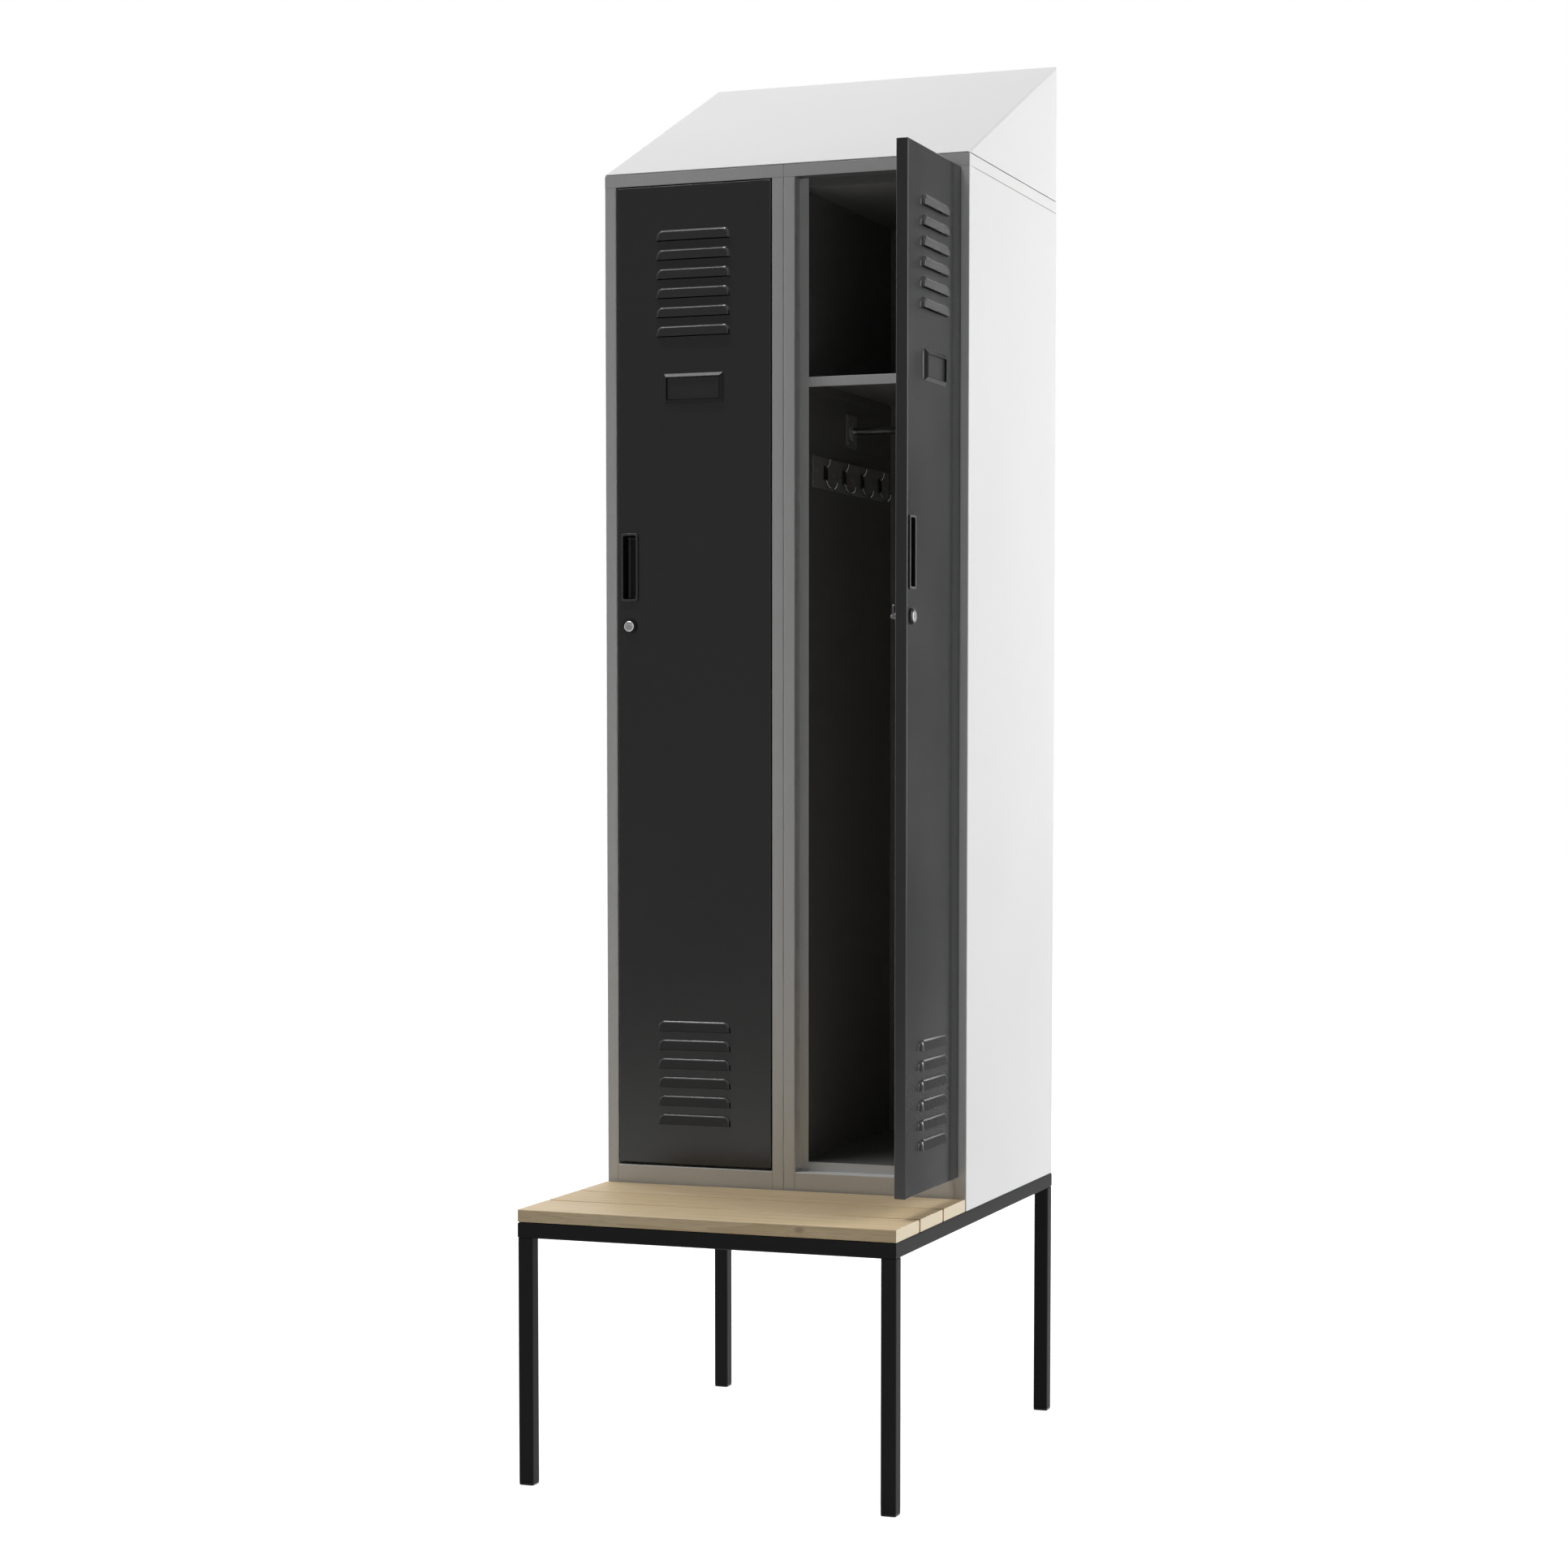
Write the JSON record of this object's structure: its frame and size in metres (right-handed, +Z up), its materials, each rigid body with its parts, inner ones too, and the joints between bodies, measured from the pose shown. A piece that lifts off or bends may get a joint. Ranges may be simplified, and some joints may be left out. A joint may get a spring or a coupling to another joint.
{
  "type": "locker with bench",
  "caption": "Steel wardrobe locker with side-by-side compartments, louvered doors and a sloping roof, on a square-tube underframe with a wooden slat bench in front.",
  "frame": {"origin": "centre of the footprint, on the floor", "axes": "+Z up, -Y out of the front over the bench, +X to the right seen from the front"},
  "size_m": [0.63, 0.868, 2.341],
  "materials": {
    "light_paint": "satin light grey powder coat",
    "dark_paint": "satin anthracite powder coat",
    "door_paint": "satin anthracite powder coat",
    "frame_paint": "satin black powder coat",
    "oak": "clear-lacquered light wood",
    "chrome": "bright chrome",
    "black_plastic": "fine-grained matte black",
    "lock_steel": "nickel-plated",
    "hinge_steel": "zinc-plated"
  },
  "bodies": {
    "carcass": {"front_rail": "frame_paint", "rear_rail": "frame_paint", "left_rail": "frame_paint", "right_rail": "frame_paint", "cross_rail": "frame_paint", "front_left_leg": "frame_paint", "front_right_leg": "frame_paint", "rear_left_leg": "frame_paint", "rear_right_leg": "frame_paint", "front_left_foot": "black_plastic", "front_right_foot": "black_plastic", "rear_left_foot": "black_plastic", "rear_right_foot": "black_plastic", "front_slat": "oak", "middle_slat": "oak", "rear_slat": "oak", "sloping_roof": "light_paint", "left_latch_side_panel": "light_paint", "left_hinge_side_panel": "light_paint", "left_top_cap": "light_paint", "left_bottom_rail": "light_paint", "left_lining_left": "dark_paint", "left_lining_right": "dark_paint", "left_back_panel": "dark_paint", "left_floor": "dark_paint", "left_ceiling": "dark_paint", "left_shelf": "dark_paint", "left_clothes_rail": "chrome", "left_rail_bracket_left": "black_plastic", "left_rail_bracket_right": "black_plastic", "left_hook_strip": "dark_paint", "left_hinge_rod": "hinge_steel", "right_latch_side_panel": "light_paint", "right_hinge_side_panel": "light_paint", "right_top_cap": "light_paint", "right_bottom_rail": "light_paint", "right_lining_left": "dark_paint", "right_lining_right": "dark_paint", "right_back_panel": "dark_paint", "right_floor": "dark_paint", "right_ceiling": "dark_paint", "right_shelf": "dark_paint", "right_clothes_rail": "chrome", "right_rail_bracket_left": "black_plastic", "right_rail_bracket_right": "black_plastic", "right_hook_strip": "dark_paint", "right_hinge_rod": "hinge_steel"},
    "left_door": {"left_door_skin": "door_paint", "left_door_stiffener": "dark_paint", "left_handle_cup": "black_plastic", "left_label_holder": "black_plastic", "left_lock_housing": "black_plastic"},
    "right_door": {"right_door_skin": "door_paint", "right_door_stiffener": "dark_paint", "right_handle_cup": "black_plastic", "right_label_holder": "black_plastic", "right_lock_housing": "black_plastic"},
    "left_lock": {"left_lock_barrel": "lock_steel"},
    "right_lock": {"right_lock_barrel": "lock_steel"}
  },
  "joints": [
    {"name": "left_door_hinge", "type": "hinge", "parent": "carcass", "child": "left_door", "pos_m": [-0.01765, -0.072, 1.25], "axis": [0, 0, 1], "range_deg": [0, 95]},
    {"name": "right_door_hinge", "type": "hinge", "parent": "carcass", "child": "right_door", "pos_m": [0.2975, -0.072, 1.25], "axis": [0, 0, 1], "range_deg": [-90, 5]},
    {"name": "left_lock_turn", "type": "hinge", "parent": "left_door", "child": "left_lock", "pos_m": [-0.2715, -0.076, 1.3688], "axis": [0, -1, 0], "range_deg": [0, 90]},
    {"name": "right_lock_turn", "type": "hinge", "parent": "right_door", "child": "right_lock", "pos_m": [0.3015, -0.32585, 1.3688], "axis": [1, 0, 0], "range_deg": [0, 90]}
  ]
}
